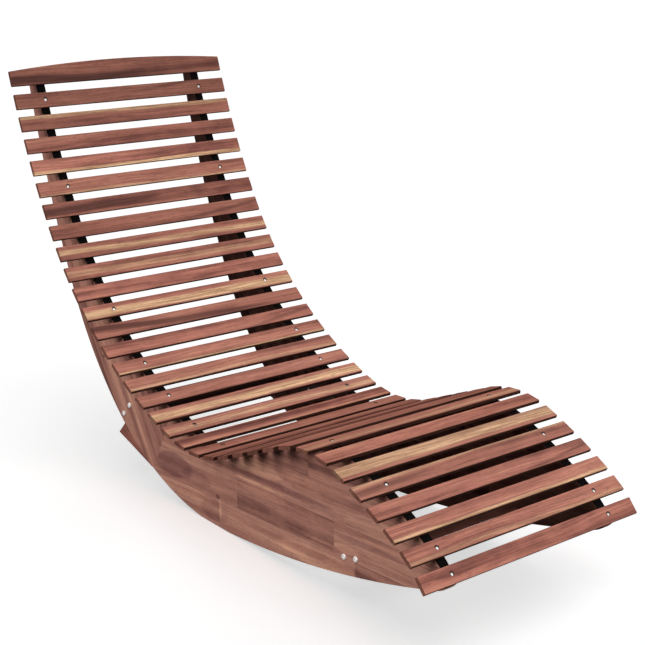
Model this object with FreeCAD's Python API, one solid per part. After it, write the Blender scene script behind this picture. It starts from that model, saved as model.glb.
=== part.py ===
import FreeCAD, Part
import math
import os

# A wooden chaise lounge that rocks on the curved lower edges of its two side boards.
# X runs from the head to the feet, Y across, with the sitter's left at +Y, and Z up.
# It is drawn at rest, about the middle of the short flats that its rockers stand on.
# centre_on_floor() then carries it so that the origin is under the middle of its length.

# Lying surface: the line that the backs of the slats follow, from the head to the feet
head_height = 865.0
head_behind_rest = 734.5
head_slope = 67.9
head_radius = 1880.0
head_sweep = 10.9
lumbar_radius = 864.0
lumbar_sweep = 40.7
seat_radius = 275.0
seat_sweep = 41.2
thigh_run = 196.0
knee_radius = 224.0
knee_sweep = 45.0
calf_radius = 1070.0
calf_sweep = 11.1
toe_radius = 239.0

# Slats
slat_count = 35
slat_pitch = 53.4
slat_length = 600.0
slat_width = 36.0
slat_thickness = 8.5
slat_edge_round = 2.0
slat_lift = 0.1
head_slat_rise = 13.5
head_slat_shift = 2.0
screwed_slats = (2, 6, 12, 15, 17, 19, 21, 28, 31, 34, 35)

# Side boards: thickness across, and the arcs of their lower edge from the nape to the toe
board_thickness = 22.0
board_spacing = 444.0
board_edge_round = 1.5
board_past_head_slat = 8.0
head_depth = 30.0
nape_radius = 912.0
nape_sweep = 19.8
heel_radius = 578.0
heel_sweep = 36.65
rest_flat = 97.0
rest_blend_radius = 40.0
rear_blend_sweep = 5.9
front_blend_sweep = 3.9
rocker_radius = 2430.0
rocker_sweep = 15.05

# Butt joint between back board and seat board, counted in slats, and the slope of the staves
hip_station = 16.62
stave_slope = 3.7

# Webbing strap between each side board and the slats
strap_width = 22.0
strap_thickness = 2.0
strap_gap = 0.1

# Anti-tip stop under the heel of each side board, by distance behind the flat
stop_rear = 332.0
stop_front = 200.0
stop_height = 36.0
stop_screw_shares = (0.25, 0.6)

# Cross rails: distance from the flat and depth inside the lower edge
rail_width = 65.0
rail_thickness = 22.0
rail_edge_round = 2.0
front_rail_ahead = 402.0
front_rail_inset = 38.5
rear_rail_behind = 349.0
rear_rail_inset = 35.0

# Rail bolts and the barrel nuts that they pull on
bolt_spacing = 35.0
bolt_diameter = 6.0
bolt_length = 60.0
bolt_head_diameter = 12.0
bolt_head_height = 3.2
bolt_head_round = 1.3
bolt_socket_width = 4.0
bolt_socket_depth = 2.0
barrel_diameter = 10.0
barrel_length = 14.0
barrel_from_tip = 8.0

# Countersunk wood screws: head, shank and length, how deep the heads sit below the wood and
# the steel, and how much wider than the head the mouth of the hole is all round
screw_head_diameter = 6.0
screw_shank_diameter = 3.0
screw_cone_height = 1.5
screw_rim_height = 0.3
screw_sink = 1.0
plate_screw_sink = 0.3
screw_mouth_gap = 0.5
slat_screw_length = 40.0
stop_screw_length = 45.0
plate_screw_length = 16.0
recess_length = 3.4
recess_width = 0.8
recess_depth = 1.2

# Hip joint: dowels across the butt joint and a steel plate inside it
dowel_diameter = 10.0
dowel_length = 60.0
dowel_insets = (37.0, 125.0)
dowel_end_play = 1.0
plate_length = 140.0
plate_height = 30.0
plate_thickness = 2.5
plate_corner_round = 4.0
plate_depth_below_lie = 62.0
plate_screw_offsets = (-54.0, -28.5, 28.5, 54.0)

# Staples that hold the strap to the slats that have no screws
staple_crown = 12.0
staple_wire_width = 1.2
staple_wire_depth = 1.0
staple_leg = 7.5

# Play around a fastener, the smallest gap that keeps two pieces apart, the overshoot of a
# cutting tool, and the smallest angle or length that counts
fit_gap = 0.15
hair = 0.02
overshoot = 1.0
tiny = 1e-6

# Densities, in grams per cubic centimetre
wood_density = 0.70
steel_density = 7.80
webbing_density = 0.90
cubic_mm_per_cc = 1000.0
milligrams_per_kg = 1000000.0

# Worked out from the sizes above
lie_path = (
    (head_radius, head_sweep),
    (lumbar_radius, lumbar_sweep),
    (seat_radius, seat_sweep),
    (0.0, thigh_run),
    (knee_radius, -knee_sweep),
    (calf_radius, -calf_sweep),
    (toe_radius, -90.0),
)
under_path = (
    (nape_radius, nape_sweep),
    (heel_radius, heel_sweep),
    (rest_blend_radius, rear_blend_sweep),
    (0.0, rest_flat),
    (rest_blend_radius, front_blend_sweep),
    (rocker_radius, rocker_sweep),
)
lie_end = (slat_count - 1) * slat_pitch + slat_width / 2
before_flat = sum(radius * math.radians(sweep) for radius, sweep in under_path[:3])
board_middle = board_spacing / 2
board_inner = board_middle - board_thickness / 2
board_outer = board_middle + board_thickness / 2
rail_length = 2 * board_inner
bolt_tip = board_outer - bolt_length
bolt_offsets = (-bolt_spacing / 2, bolt_spacing / 2)
lie_start = FreeCAD.Vector(-head_behind_rest, 0, head_height)
sides = (("left", 1.0), ("right", -1.0))


def spot(x, z, y=0.0):
    return FreeCAD.Vector(x, y, z)


def ahead(angle):
    return spot(math.cos(angle), math.sin(angle))


def above(angle):
    return spot(-math.sin(angle), math.cos(angle))


def step_length(step):
    radius, amount = step
    if radius == 0.0:
        return amount
    return radius * math.radians(abs(amount))


def follow(point, angle, step, run):
    # One step of a path, followed for a run no longer than the step
    radius, amount = step
    if radius == 0.0:
        return point + ahead(angle) * run, angle
    turn = math.copysign(run / radius, amount)
    chord = 2 * radius * math.sin(abs(turn) / 2)
    return point + ahead(angle + turn / 2) * chord, angle + turn


def along(path, start, angle, station, offset=0.0):
    # Point and heading at a distance along a path; offset is to the upper side of the line
    point = start
    left = station
    for index, step in enumerate(path):
        last = index == len(path) - 1
        if left <= step_length(step) or last:
            point, angle = follow(point, angle, step, left)
            break
        point, angle = follow(point, angle, step, step_length(step))
        left -= step_length(step)
    return point + above(angle) * offset, angle


def on_lie(station, offset=0.0):
    return along(lie_path, lie_start, -math.radians(head_slope), station, offset)


def on_under(station, offset=0.0):
    # The lower edge, laid with the middle of its flat at the origin
    heading = -math.radians(nape_sweep + heel_sweep + rear_blend_sweep)
    middle, _ = along(under_path, spot(0, 0), heading, before_flat + rest_flat / 2)
    return along(under_path, middle * -1, heading, station, offset)


def stretch(locate, path, begin, end, offset):
    # Arcs and lines of a path between two stations, in order
    cuts = [begin]
    passed = 0.0
    for step in path[:-1]:
        passed += step_length(step)
        if begin < passed < end:
            cuts.append(passed)
    cuts.append(end)
    edges = []
    for low, high in zip(cuts[:-1], cuts[1:]):
        a, heading_a = locate(low, offset)
        b, heading_b = locate(high, offset)
        if abs(heading_a - heading_b) < tiny:
            edges.append(Part.LineSegment(a, b).toShape())
        else:
            middle, _ = locate((low + high) / 2, offset)
            edges.append(Part.Arc(a, middle, b).toShape())
    return edges


def tangent_arc(point, heading, target):
    # The arc that leaves a point along a heading and ends on the target
    chord = target - point
    bend = math.atan2(chord.z, chord.x) - heading
    if abs(math.sin(bend)) < tiny:
        return Part.LineSegment(point, target).toShape()
    half = chord.Length / (2 * math.cos(bend / 2))
    middle = point + ahead(heading + bend / 2) * half
    return Part.Arc(point, middle, target).toShape()


def slab(edges, low, high):
    # A flat outline in the XZ plane, thickened from y = low to y = high
    face = Part.Face(Part.Wire(edges))
    face.translate(FreeCAD.Vector(0, low, 0))
    return face.extrude(FreeCAD.Vector(0, high - low, 0))


def loop(points):
    ring = list(points) + [points[0]]
    return [Part.LineSegment(a, b).toShape() for a, b in zip(ring[:-1], ring[1:])]


def place(shape, origin, angle):
    # Turn a shape drawn along X and Z to a heading, and carry it to a point
    moved = shape.copy()
    turn = FreeCAD.Rotation(FreeCAD.Vector(0, 1, 0), -math.degrees(angle))
    moved.Placement = FreeCAD.Placement(origin, turn).multiply(moved.Placement)
    return moved


def rounded_bar(width, thickness, length, radius):
    # A bar along Y with its four long edges rounded, back face on z = 0
    half = width / 2
    block = Part.makeBox(width, length, thickness, FreeCAD.Vector(-half, -length / 2, 0))
    long_edges = [e for e in block.Edges if abs(e.Length - length) < tiny and is_across(e)]
    return block.makeFillet(radius, long_edges)


def is_across(edge):
    first, last = edge.Vertexes[0].Point, edge.Vertexes[-1].Point
    return abs(first.y - last.y) > edge.Length - tiny


def wood_screw(length):
    # Countersunk screw with its head's top on z = 0 and its shank down -Z
    head = screw_head_diameter / 2
    shank = screw_shank_diameter / 2
    neck = screw_rim_height + screw_cone_height
    point = screw_shank_diameter
    profile = (spot(0, 0), spot(head, 0), spot(head, -screw_rim_height), spot(shank, -neck),
               spot(shank, point - length), spot(0, -length))
    body = revolve(profile)
    for turned in (0, 90):
        slot = Part.makeBox(recess_length, recess_width, recess_depth,
                            FreeCAD.Vector(-recess_length / 2, -recess_width / 2, -recess_depth))
        slot.rotate(FreeCAD.Vector(0, 0, 0), FreeCAD.Vector(0, 0, 1), turned)
        body = body.cut(slot)
    return body


def screw_hole(length):
    # The space that a wood screw needs, a little larger all round, and the wider mouth above it
    head = screw_head_diameter / 2 + fit_gap
    mouth = screw_head_diameter / 2 + screw_mouth_gap
    shank = screw_shank_diameter / 2 + fit_gap
    neck = screw_rim_height + screw_cone_height
    top = screw_sink + overshoot
    end = -length - fit_gap
    profile = (spot(0, top), spot(mouth, top), spot(mouth, 0), spot(head, 0),
               spot(head, -screw_rim_height), spot(shank, -neck), spot(shank, end), spot(0, end))
    return revolve(profile)


def revolve(points):
    face = Part.Face(Part.Wire(loop(points)))
    return face.revolve(FreeCAD.Vector(0, 0, 0), FreeCAD.Vector(0, 0, 1), 360)


def carried(shape, point, direction):
    # A shape drawn along Z, turned so that +Z points along a direction, at a point
    moved = shape.copy()
    turn = FreeCAD.Rotation(FreeCAD.Vector(0, 0, 1), direction)
    moved.Placement = FreeCAD.Placement(point, turn)
    return moved


def slat_bed(number):
    # Where the middle of a slat's back lies, and the slat's heading
    station = (number - 1) * slat_pitch
    half = slat_width / 2
    upper, _ = on_lie(station - half) if station >= half else on_lie(station)
    lower, _ = on_lie(station + half)
    if station < half:
        upper = upper + (upper - lower)
    heading = math.atan2(lower.z - upper.z, lower.x - upper.x)
    middle = (upper + lower) * 0.5
    crown, _ = on_lie(station)
    lift = max(0.0, (crown - middle).dot(above(heading))) + slat_lift
    return middle + above(heading) * lift, heading


def head_slat():
    # The first slat has an upper edge that rises in one long arc between its ends
    half = slat_length / 2
    low = slat_width / 2 - head_slat_shift
    high = -slat_width / 2 - head_slat_shift
    left = FreeCAD.Vector(high, -half, 0)
    right = FreeCAD.Vector(high, half, 0)
    top = FreeCAD.Vector(high - head_slat_rise, 0, 0)
    base_left = FreeCAD.Vector(low, -half, 0)
    base_right = FreeCAD.Vector(low, half, 0)
    edges = [
        Part.Arc(left, top, right).toShape(),
        Part.LineSegment(right, base_right).toShape(),
        Part.LineSegment(base_right, base_left).toShape(),
        Part.LineSegment(base_left, left).toShape(),
    ]
    board = Part.Face(Part.Wire(edges)).extrude(FreeCAD.Vector(0, 0, slat_thickness))
    long_edges = [e for e in board.Edges if e.Length > slat_length / 2]
    return board.makeFillet(slat_edge_round, long_edges)


def screw_seat(number, side):
    # The top of a slat screw's head, sunk below the slat's face, and the way out of the wood
    bed, heading = slat_bed(number)
    point = bed + above(heading) * (slat_thickness - screw_sink)
    point.y = side * board_middle
    return point, above(heading)


def slat(number):
    plain = head_slat() if number == 1 else rounded_bar(
        slat_width, slat_thickness, slat_length, slat_edge_round)
    bed, heading = slat_bed(number)
    piece = place(plain, bed, heading)
    for _, side in sides:
        if number in screwed_slats:
            seat, outward = screw_seat(number, side)
            piece = piece.cut(carried(screw_hole(slat_screw_length), seat, outward))
        else:
            piece = piece.cut(staple(number, side))
    return piece


def staple(number, side):
    # Legs up into the slat, crown level with the strap's lower face
    _, heading = slat_bed(number)
    wire, depth = staple_wire_width, staple_wire_depth
    floor = -slat_lift - strap_thickness
    base = FreeCAD.Vector(-depth / 2, -staple_crown / 2, floor)
    shape = Part.makeBox(depth, staple_crown, wire, base)
    for edge in (-staple_crown / 2, staple_crown / 2 - wire):
        leg = Part.makeBox(depth, wire, staple_leg, FreeCAD.Vector(-depth / 2, edge, floor))
        shape = shape.fuse(leg)
    shape = shape.removeSplitter()
    crown, _ = on_lie((number - 1) * slat_pitch)
    spot_on_line = crown + above(heading) * slat_lift
    spot_on_line.y = side * board_middle
    return place(shape, spot_on_line, heading)


def strap(side):
    # Webbing that lies along the edge of a side board, under all the slats
    low = side * board_middle - strap_width / 2
    upper = stretch(on_lie, lie_path, 0.0, lie_end - slat_edge_round, 0.0)
    lower = stretch(on_lie, lie_path, 0.0, lie_end - slat_edge_round, -strap_thickness)
    ends = [
        Part.LineSegment(upper[-1].Vertexes[-1].Point, lower[-1].Vertexes[-1].Point).toShape(),
        Part.LineSegment(lower[0].Vertexes[0].Point, upper[0].Vertexes[0].Point).toShape(),
    ]
    piece = slab(Part.__sortEdges__(upper + lower + ends), low, low + strap_width)
    for number in range(1, slat_count + 1):
        if number in screwed_slats:
            seat, outward = screw_seat(number, side)
            piece = piece.cut(carried(screw_hole(slat_screw_length), seat, outward))
        else:
            piece = piece.cut(staple(number, side))
    return piece


def side_outline():
    # Upper edge under the strap, toe, rocker, heel and nape, closed at the head
    drop = -strap_thickness - strap_gap
    head_front, heading = on_lie(0.0, drop)
    head_front = head_front - ahead(heading) * board_past_head_slat
    start, _ = on_lie(0.0, drop)
    head_back = head_front - above(heading) * head_depth
    upper = stretch(on_lie, lie_path, 0.0, lie_end, drop)
    toe, _ = on_lie(lie_end, drop)
    under_end = sum(step_length(step) for step in under_path)
    rocker_end, rocker_heading = on_under(under_end)
    under = stretch(on_under, under_path, 0.0, under_end, 0.0)
    nape, nape_heading = on_under(0.0)
    edges = [Part.LineSegment(head_front, start).toShape()]
    edges += upper
    edges.append(tangent_arc(rocker_end, rocker_heading, toe))
    edges += under
    edges.append(tangent_arc(nape, nape_heading + math.pi, head_back))
    edges.append(Part.LineSegment(head_back, head_front).toShape())
    return Part.__sortEdges__(edges)


def hip():
    # The butt joint between back board and seat board, square to the lying surface
    return on_lie(hip_station * slat_pitch, -strap_thickness - strap_gap)


def half_space(forward):
    # A block that covers everything on one side of the hip joint
    top, heading = hip()
    low = 0.0 if forward else -lie_end
    corner = FreeCAD.Vector(low, -slat_length / 2, -lie_end)
    block = Part.makeBox(lie_end, slat_length, 2 * lie_end, corner)
    return place(block, top, heading)


def side_boards(side):
    low = side * board_middle - board_thickness / 2
    whole = slab(side_outline(), low, low + board_thickness)
    for level in (low, low + board_thickness):
        rim = [edge for edge in whole.Edges if abs(edge.CenterOfMass.y - level) < tiny]
        whole = whole.makeFillet(board_edge_round, rim)
    for tool in board_holes(side):
        whole = whole.cut(tool)
    return whole.cut(half_space(True)), whole.cut(half_space(False))


def board_holes(side):
    tools = []
    for number in screwed_slats:
        seat, outward = screw_seat(number, side)
        tools.append(carried(screw_hole(slat_screw_length), seat, outward))
    for share in stop_screw_shares:
        seat, outward = stop_screw_seat(share, side)
        tools.append(carried(screw_hole(stop_screw_length), seat, outward))
    for offset in plate_screw_offsets:
        seat, outward = plate_screw_seat(offset, side)
        tools.append(carried(screw_hole(plate_screw_length), seat, outward))
    for inset in dowel_insets:
        tools.append(dowel(inset, side, dowel_diameter + 2 * hair, dowel_length + dowel_end_play))
    for point in bolt_points():
        tools.append(bolt_hole(point, side, board_outer + overshoot))
    return tools


def behind_flat(distance, inset):
    # A point inside the heel and the heading of the edge there
    return on_under(before_flat - distance, inset)


def ahead_of_flat(distance, inset):
    # The same on the rocker
    return on_under(before_flat + rest_flat + distance, inset)


def stop_corners():
    # Where the stop meets the heel at its rear and front, and its lowest corner
    rear, _ = behind_flat(stop_rear, -strap_gap)
    corner, _ = behind_flat(stop_rear, -stop_height)
    front, _ = behind_flat(stop_front, -strap_gap)
    return rear, corner, front


def stop_block(side):
    # A wedge with a straight lower edge, seated on the curve of the heel
    rear, corner, front = stop_corners()
    middle, _ = behind_flat((stop_rear + stop_front) / 2, -strap_gap)
    edges = [
        Part.LineSegment(rear, corner).toShape(),
        Part.LineSegment(corner, front).toShape(),
        Part.Arc(front, middle, rear).toShape(),
    ]
    low = side * board_middle - board_thickness / 2
    piece = slab(edges, low, low + board_thickness)
    for share in stop_screw_shares:
        seat, outward = stop_screw_seat(share, side)
        piece = piece.cut(carried(screw_hole(stop_screw_length), seat, outward))
    return piece


def stop_screw_seat(share, side):
    # A share of the way along the straight lower edge of the stop, square to it
    _, corner, front = stop_corners()
    run = front - corner
    outward = spot(run.z, -run.x).normalize()
    point = corner + run * share - outward * screw_sink
    point.y = side * board_middle
    return point, outward


def rail_seat(front):
    # Middle of a cross rail, and the direction of its long side
    if front:
        return ahead_of_flat(front_rail_ahead, front_rail_inset)
    middle, heading = behind_flat(rear_rail_behind, rear_rail_inset)
    return middle, heading + math.pi / 2


def bolt_points():
    # Where the bolts stand, two to the end of each rail
    points = []
    for front in (True, False):
        middle, heading = rail_seat(front)
        points += [middle + ahead(heading) * offset for offset in bolt_offsets]
    return points


def bolt_hole(point, side, outer):
    # The clear hole for a bolt, from beyond its tip out to a distance from the middle
    return cross_cylinder(point, side, bolt_tip - overshoot, outer, bolt_diameter / 2 + fit_gap)


def cross_cylinder(point, side, low, high, radius):
    # A cylinder along Y on one side of the chair, from y = low to y = high
    base = FreeCAD.Vector(point.x, side * low, point.z)
    return Part.makeCylinder(radius, high - low, base, FreeCAD.Vector(0, side, 0))


def rail(front):
    plain = rounded_bar(rail_width, rail_thickness, rail_length, rail_edge_round)
    plain.translate(FreeCAD.Vector(0, 0, -rail_thickness / 2))
    middle, heading = rail_seat(front)
    piece = place(plain, middle, heading)
    for _, side in sides:
        for offset in bolt_offsets:
            point = middle + ahead(heading) * offset
            piece = piece.cut(bolt_hole(point, side, board_inner + overshoot))
            piece = piece.cut(barrel(point, heading, side, barrel_diameter + 2 * fit_gap,
                                     rail_thickness + 2 * overshoot))
    return piece


def barrel(point, heading, side, diameter, length):
    # A cross dowel that stands through the rail's thickness
    axis = above(heading)
    base = point - axis * (length / 2)
    base.y = side * (bolt_tip + barrel_from_tip)
    return Part.makeCylinder(diameter / 2, length, base, axis)


def rail_bolt(point, side):
    shank = cross_cylinder(point, side, bolt_tip, board_outer, bolt_diameter / 2)
    base = FreeCAD.Vector(point.x, side * board_outer, point.z)
    out = FreeCAD.Vector(0, side, 0)
    head = Part.makeCylinder(bolt_head_diameter / 2, bolt_head_height, base, out)
    top = board_outer + bolt_head_height - hair
    head = head.makeFillet(bolt_head_round, [e for e in head.Edges if abs(e.CenterOfMass.y) > top])
    socket_base = base + out * (bolt_head_height - bolt_socket_depth)
    socket = hex_prism(socket_base, out)
    return shank.fuse(head).cut(socket).removeSplitter()


def hex_prism(base, out):
    # A prism whose flat sides stand a socket's width apart
    reach = bolt_socket_width / math.sqrt(3)
    corners = [ahead(math.pi / 3 * turn) * reach for turn in range(6)]
    face = Part.Face(Part.Wire(loop(corners)))
    face.translate(base)
    return face.extrude(out * bolt_head_height)


def rail_bolts():
    return [rail_bolt(point, side) for _, side in sides for point in bolt_points()]


def barrel_nuts():
    nuts = []
    for _, side in sides:
        for front in (True, False):
            middle, heading = rail_seat(front)
            for offset in bolt_offsets:
                point = middle + ahead(heading) * offset
                nut = barrel(point, heading, side, barrel_diameter, barrel_length)
                nuts.append(nut.cut(bolt_hole(point, side, board_outer)))
    return nuts


def slat_screws():
    screws = []
    for _, side in sides:
        for number in screwed_slats:
            screws.append(carried(wood_screw(slat_screw_length), *screw_seat(number, side)))
    return screws


def stop_screws():
    screws = []
    for _, side in sides:
        for share in stop_screw_shares:
            screws.append(carried(wood_screw(stop_screw_length), *stop_screw_seat(share, side)))
    return screws


def plate_middle():
    # The plate lies along the staves, across the hip joint, on the board's inner face
    top, heading = hip()
    return top - above(heading) * plate_depth_below_lie


def plate_screw_seat(offset, side):
    point = plate_middle() + ahead(math.radians(stave_slope)) * offset
    point.y = side * (board_inner - plate_thickness + plate_screw_sink)
    return point, FreeCAD.Vector(0, -side, 0)


def hip_plate(side):
    low = board_inner - plate_thickness if side > 0 else -board_inner
    base = FreeCAD.Vector(-plate_length / 2, low, -plate_height / 2)
    plate = Part.makeBox(plate_length, plate_thickness, plate_height, base)
    plate = plate.makeFillet(plate_corner_round, [e for e in plate.Edges if is_across(e)])
    plate = place(plate, plate_middle(), math.radians(stave_slope))
    for offset in plate_screw_offsets:
        seat, outward = plate_screw_seat(offset, side)
        plate = plate.cut(carried(screw_hole(plate_screw_length), seat, outward))
    return plate


def plate_screws():
    return [carried(wood_screw(plate_screw_length), *plate_screw_seat(offset, side))
            for _, side in sides for offset in plate_screw_offsets]


def dowel(inset, side, diameter, length):
    # A wooden dowel square across the hip joint, half in each board
    top, heading = hip()
    middle = top - above(heading) * inset
    middle.y = side * board_middle
    base = middle - ahead(heading) * (length / 2)
    return Part.makeCylinder(diameter / 2, length, base, ahead(heading))


def hip_dowels():
    return [dowel(inset, side, dowel_diameter, dowel_length)
            for _, side in sides for inset in dowel_insets]


def strap_staples():
    return [staple(number, side) for _, side in sides
            for number in range(1, slat_count + 1) if number not in screwed_slats]


def report_balance(pieces):
    # Mass, and where the centre of mass stands over the flats, measured from their middle
    total = 0.0
    moment = FreeCAD.Vector(0, 0, 0)
    for _, shape, density in pieces:
        for solid in shape.Solids:
            mass = solid.Volume * density
            total += mass
            moment = moment + solid.CenterOfMass * mass
    centre = moment * (1 / total)
    print("mass", round(total / milligrams_per_kg, 2), "kg")
    print("centre of mass", round(centre.x, 1), "from the flat's middle, height", round(centre.z, 1))


def centre_on_floor(pieces):
    # Put the origin on the floor under the middle of the whole length
    box = FreeCAD.BoundBox()
    for _, shape, _ in pieces:
        box.add(shape.optimalBoundingBox(False, False))
    shift = FreeCAD.Vector(-(box.XMin + box.XMax) / 2, 0, -box.ZMin)
    for _, shape, _ in pieces:
        shape.translate(shift)
    print("size", round(box.XLength, 1), round(box.YLength, 1), round(box.ZLength, 1))
    print("shift", round(shift.x, 3), round(shift.z, 3))


def group(shapes):
    return Part.makeCompound(shapes)


def all_pieces():
    pieces = []
    for number in range(1, slat_count + 1):
        pieces.append(("slat_%02d" % number, slat(number), wood_density))
    for name, side in sides:
        back, seat = side_boards(side)
        pieces.append(("back_board_" + name, back, wood_density))
        pieces.append(("seat_board_" + name, seat, wood_density))
        pieces.append(("stop_block_" + name, stop_block(side), wood_density))
        pieces.append(("strap_" + name, strap(side), webbing_density))
        pieces.append(("hip_plate_" + name, hip_plate(side), steel_density))
    pieces.append(("front_rail", rail(True), wood_density))
    pieces.append(("rear_rail", rail(False), wood_density))
    pieces.append(("hip_dowels", group(hip_dowels()), wood_density))
    for name, shapes in (("rail_bolts", rail_bolts()), ("barrel_nuts", barrel_nuts()),
                         ("slat_screws", slat_screws()), ("stop_screws", stop_screws()),
                         ("plate_screws", plate_screws()), ("strap_staples", strap_staples())):
        pieces.append((name, group(shapes), steel_density))
    return pieces


def main():
    os.makedirs("parts", exist_ok=True)
    pieces = all_pieces()
    report_balance(pieces)
    centre_on_floor(pieces)
    for name, shape, _ in pieces:
        shape.exportStep("parts/" + name + ".step")
        print(name, len(shape.Solids), round(shape.Volume / cubic_mm_per_cc, 2), shape.isValid())


main()
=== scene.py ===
import math
import bpy
import numpy as np
from mathutils import Matrix, Vector


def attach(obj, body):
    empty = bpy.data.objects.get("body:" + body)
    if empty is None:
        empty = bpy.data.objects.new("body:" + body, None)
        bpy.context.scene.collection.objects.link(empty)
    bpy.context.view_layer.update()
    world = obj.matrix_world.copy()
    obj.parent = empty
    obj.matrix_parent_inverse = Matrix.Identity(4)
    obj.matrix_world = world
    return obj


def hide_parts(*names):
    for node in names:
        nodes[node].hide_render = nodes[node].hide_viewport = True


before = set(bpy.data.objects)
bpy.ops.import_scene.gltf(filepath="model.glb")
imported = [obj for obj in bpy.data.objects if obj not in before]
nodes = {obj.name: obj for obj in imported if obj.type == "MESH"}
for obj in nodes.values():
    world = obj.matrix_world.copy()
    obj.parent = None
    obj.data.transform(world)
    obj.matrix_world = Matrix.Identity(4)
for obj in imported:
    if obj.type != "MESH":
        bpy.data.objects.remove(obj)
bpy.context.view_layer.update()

print("stage 1: frame loaded,", len(nodes), "pieces")


# small helpers for building node trees
def addNode(tree, kind, values=None, **settings):
    node = tree.nodes.new(kind)
    for name, value in settings.items():
        setattr(node, name, value)
    for key, value in (values or {}).items():
        if isinstance(value, bpy.types.NodeSocket):
            tree.links.new(value, node.inputs[key])
        else:
            node.inputs[key].default_value = value
    return node


def calc(tree, operation, a, b=0.0, c=0.0, clamp=False):
    node = addNode(tree, "ShaderNodeMath", {0: a, 1: b, 2: c}, operation=operation, use_clamp=clamp)
    return node.outputs[0]


def soften(tree, value, low, high, start=0.0, end=1.0):
    node = addNode(tree, "ShaderNodeMapRange", {0: value, 1: low, 2: high, 3: start, 4: end},
                   interpolation_type="SMOOTHSTEP")
    return node.outputs[0]


def blendColour(tree, amount, first, second, how="MIX"):
    node = addNode(tree, "ShaderNodeMix", {0: amount, 6: first, 7: second},
                   data_type="RGBA", blend_type=how)
    return node.outputs[2]


def calcVector(tree, operation, a, b=(0.0, 0.0, 0.0)):
    # a vector, or the number that DOT_PRODUCT and LENGTH give
    node = addNode(tree, "ShaderNodeVectorMath", {0: a, 1: b}, operation=operation)
    return node.outputs["Value" if operation in ("DOT_PRODUCT", "LENGTH") else "Vector"]


def joinXyz(tree, x, y, z):
    return addNode(tree, "ShaderNodeCombineXYZ", {0: x, 1: y, 2: z}).outputs[0]


def splitXyz(tree, vector):
    return addNode(tree, "ShaderNodeSeparateXYZ", {0: vector}).outputs


def stretchedNoise(tree, vector, stretch, detail=2.0, roughness=0.5):
    node = addNode(tree, "ShaderNodeTexNoise", {
        "Vector": calcVector(tree, "MULTIPLY", vector, stretch), "Scale": 1.0,
        "Detail": detail, "Roughness": roughness})
    return node.outputs[0]


def newGroup(name, ins, outs):
    tree = bpy.data.node_groups.new(name, "ShaderNodeTree")
    for label, kind, value in ins:
        socket = tree.interface.new_socket(label, in_out="INPUT", socket_type=kind)
        if value is not None:
            socket.default_value = value
    for label, kind in outs:
        tree.interface.new_socket(label, in_out="OUTPUT", socket_type=kind)
    return tree, tree.nodes.new("NodeGroupInput").outputs, tree.nodes.new("NodeGroupOutput").inputs


def useGroup(tree, group, values):
    return addNode(tree, "ShaderNodeGroup", values, node_tree=group).outputs


def newMaterial(name):
    material = bpy.data.materials.new(name)
    material.use_nodes = True
    tree = material.node_tree
    return material, tree, tree.nodes["Principled BSDF"].inputs


def dress(obj, material):
    obj.data.materials.clear()
    obj.data.materials.append(material)


# wood grain: x of the vector runs along the grain, y across it, z into the board, in metres
# each layer of noise rises from 0 to 1 between its two levels
grainLayers = {
    "Bands": {"stretch": (1.4, 42.0, 42.0), "detail": 3.0, "roughness": 0.6, "levels": (0.32, 0.68)},
    "Streaks": {"stretch": (9.0, 300.0, 300.0), "detail": 2.0, "roughness": 0.6, "levels": (0.28, 0.72)},
    "Pores": {"stretch": (62.0, 430.0, 430.0), "detail": 1.0, "roughness": 0.5, "levels": (0.52, 0.70)},
    "Figure": {"stretch": (21.0, 30.0, 30.0), "detail": 2.0, "roughness": 0.5, "levels": (0.28, 0.72)}}
grainDrift = {"stretch": (3.2, 9.0, 9.0), "detail": 1.0, "sway": 0.020, "seedStep": 3.17}


def makeGrain():
    tree, got, out = newGroup(
        "woodGrain",
        [("Grain", "NodeSocketVector", None), ("Seed", "NodeSocketFloat", 0.0)],
        [(name, "NodeSocketFloat") for name in (*grainLayers, "Drift")])
    apart = calc(tree, "MULTIPLY", got["Seed"], grainDrift["seedStep"])
    offset = joinXyz(tree, apart, apart, apart)
    moved = calcVector(tree, "ADD", got["Grain"], offset)
    wander = stretchedNoise(tree, moved, grainDrift["stretch"], grainDrift["detail"])
    drift = calc(tree, "SUBTRACT", wander, 0.5)
    sway = calc(tree, "MULTIPLY", drift, grainDrift["sway"])
    bend = joinXyz(tree, 0.0, sway, 0.0)
    bent = calcVector(tree, "ADD", moved, bend)
    for name, layer in grainLayers.items():
        noise = stretchedNoise(tree, bent, layer["stretch"], layer["detail"], layer["roughness"])
        tree.links.new(soften(tree, noise, *layer["levels"]), out[name])
    tree.links.new(drift, out["Drift"])
    return tree


# oiled acacia: red-brown heartwood, one pale sapwood band and one dark streak for each piece
acaciaColours = {
    "dark": (0.165, 0.060, 0.048, 1.0),
    "heart": (0.360, 0.140, 0.102, 1.0),
    "warm": (0.460, 0.196, 0.138, 1.0),
    "streak": (0.085, 0.034, 0.029, 1.0),
    "sap": (0.680, 0.455, 0.268, 1.0),
    "sapShade": (0.530, 0.300, 0.165, 1.0),
    "endGrain": (0.105, 0.042, 0.030, 1.0),
    "holeShade": (0.020, 0.008, 0.006, 1.0)}
acaciaMix = {
    "bandSwing": 0.62, "figureSwing": 0.16, "darkLevels": (0.0, 0.55), "warmLevels": (0.45, 1.0),
    "sapEdge": 0.0026, "sapWaver": 0.012, "sapFade": 0.25, "streakEdge": 0.0045, "streakWaver": 0.020,
    "reachEdge": 0.075, "middleShade": 1.03, "poreDark": 0.24, "endDark": 0.75, "poreDepth": 0.8,
    "rough": 0.46, "streakRough": 0.10, "endRough": 0.22}


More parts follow.
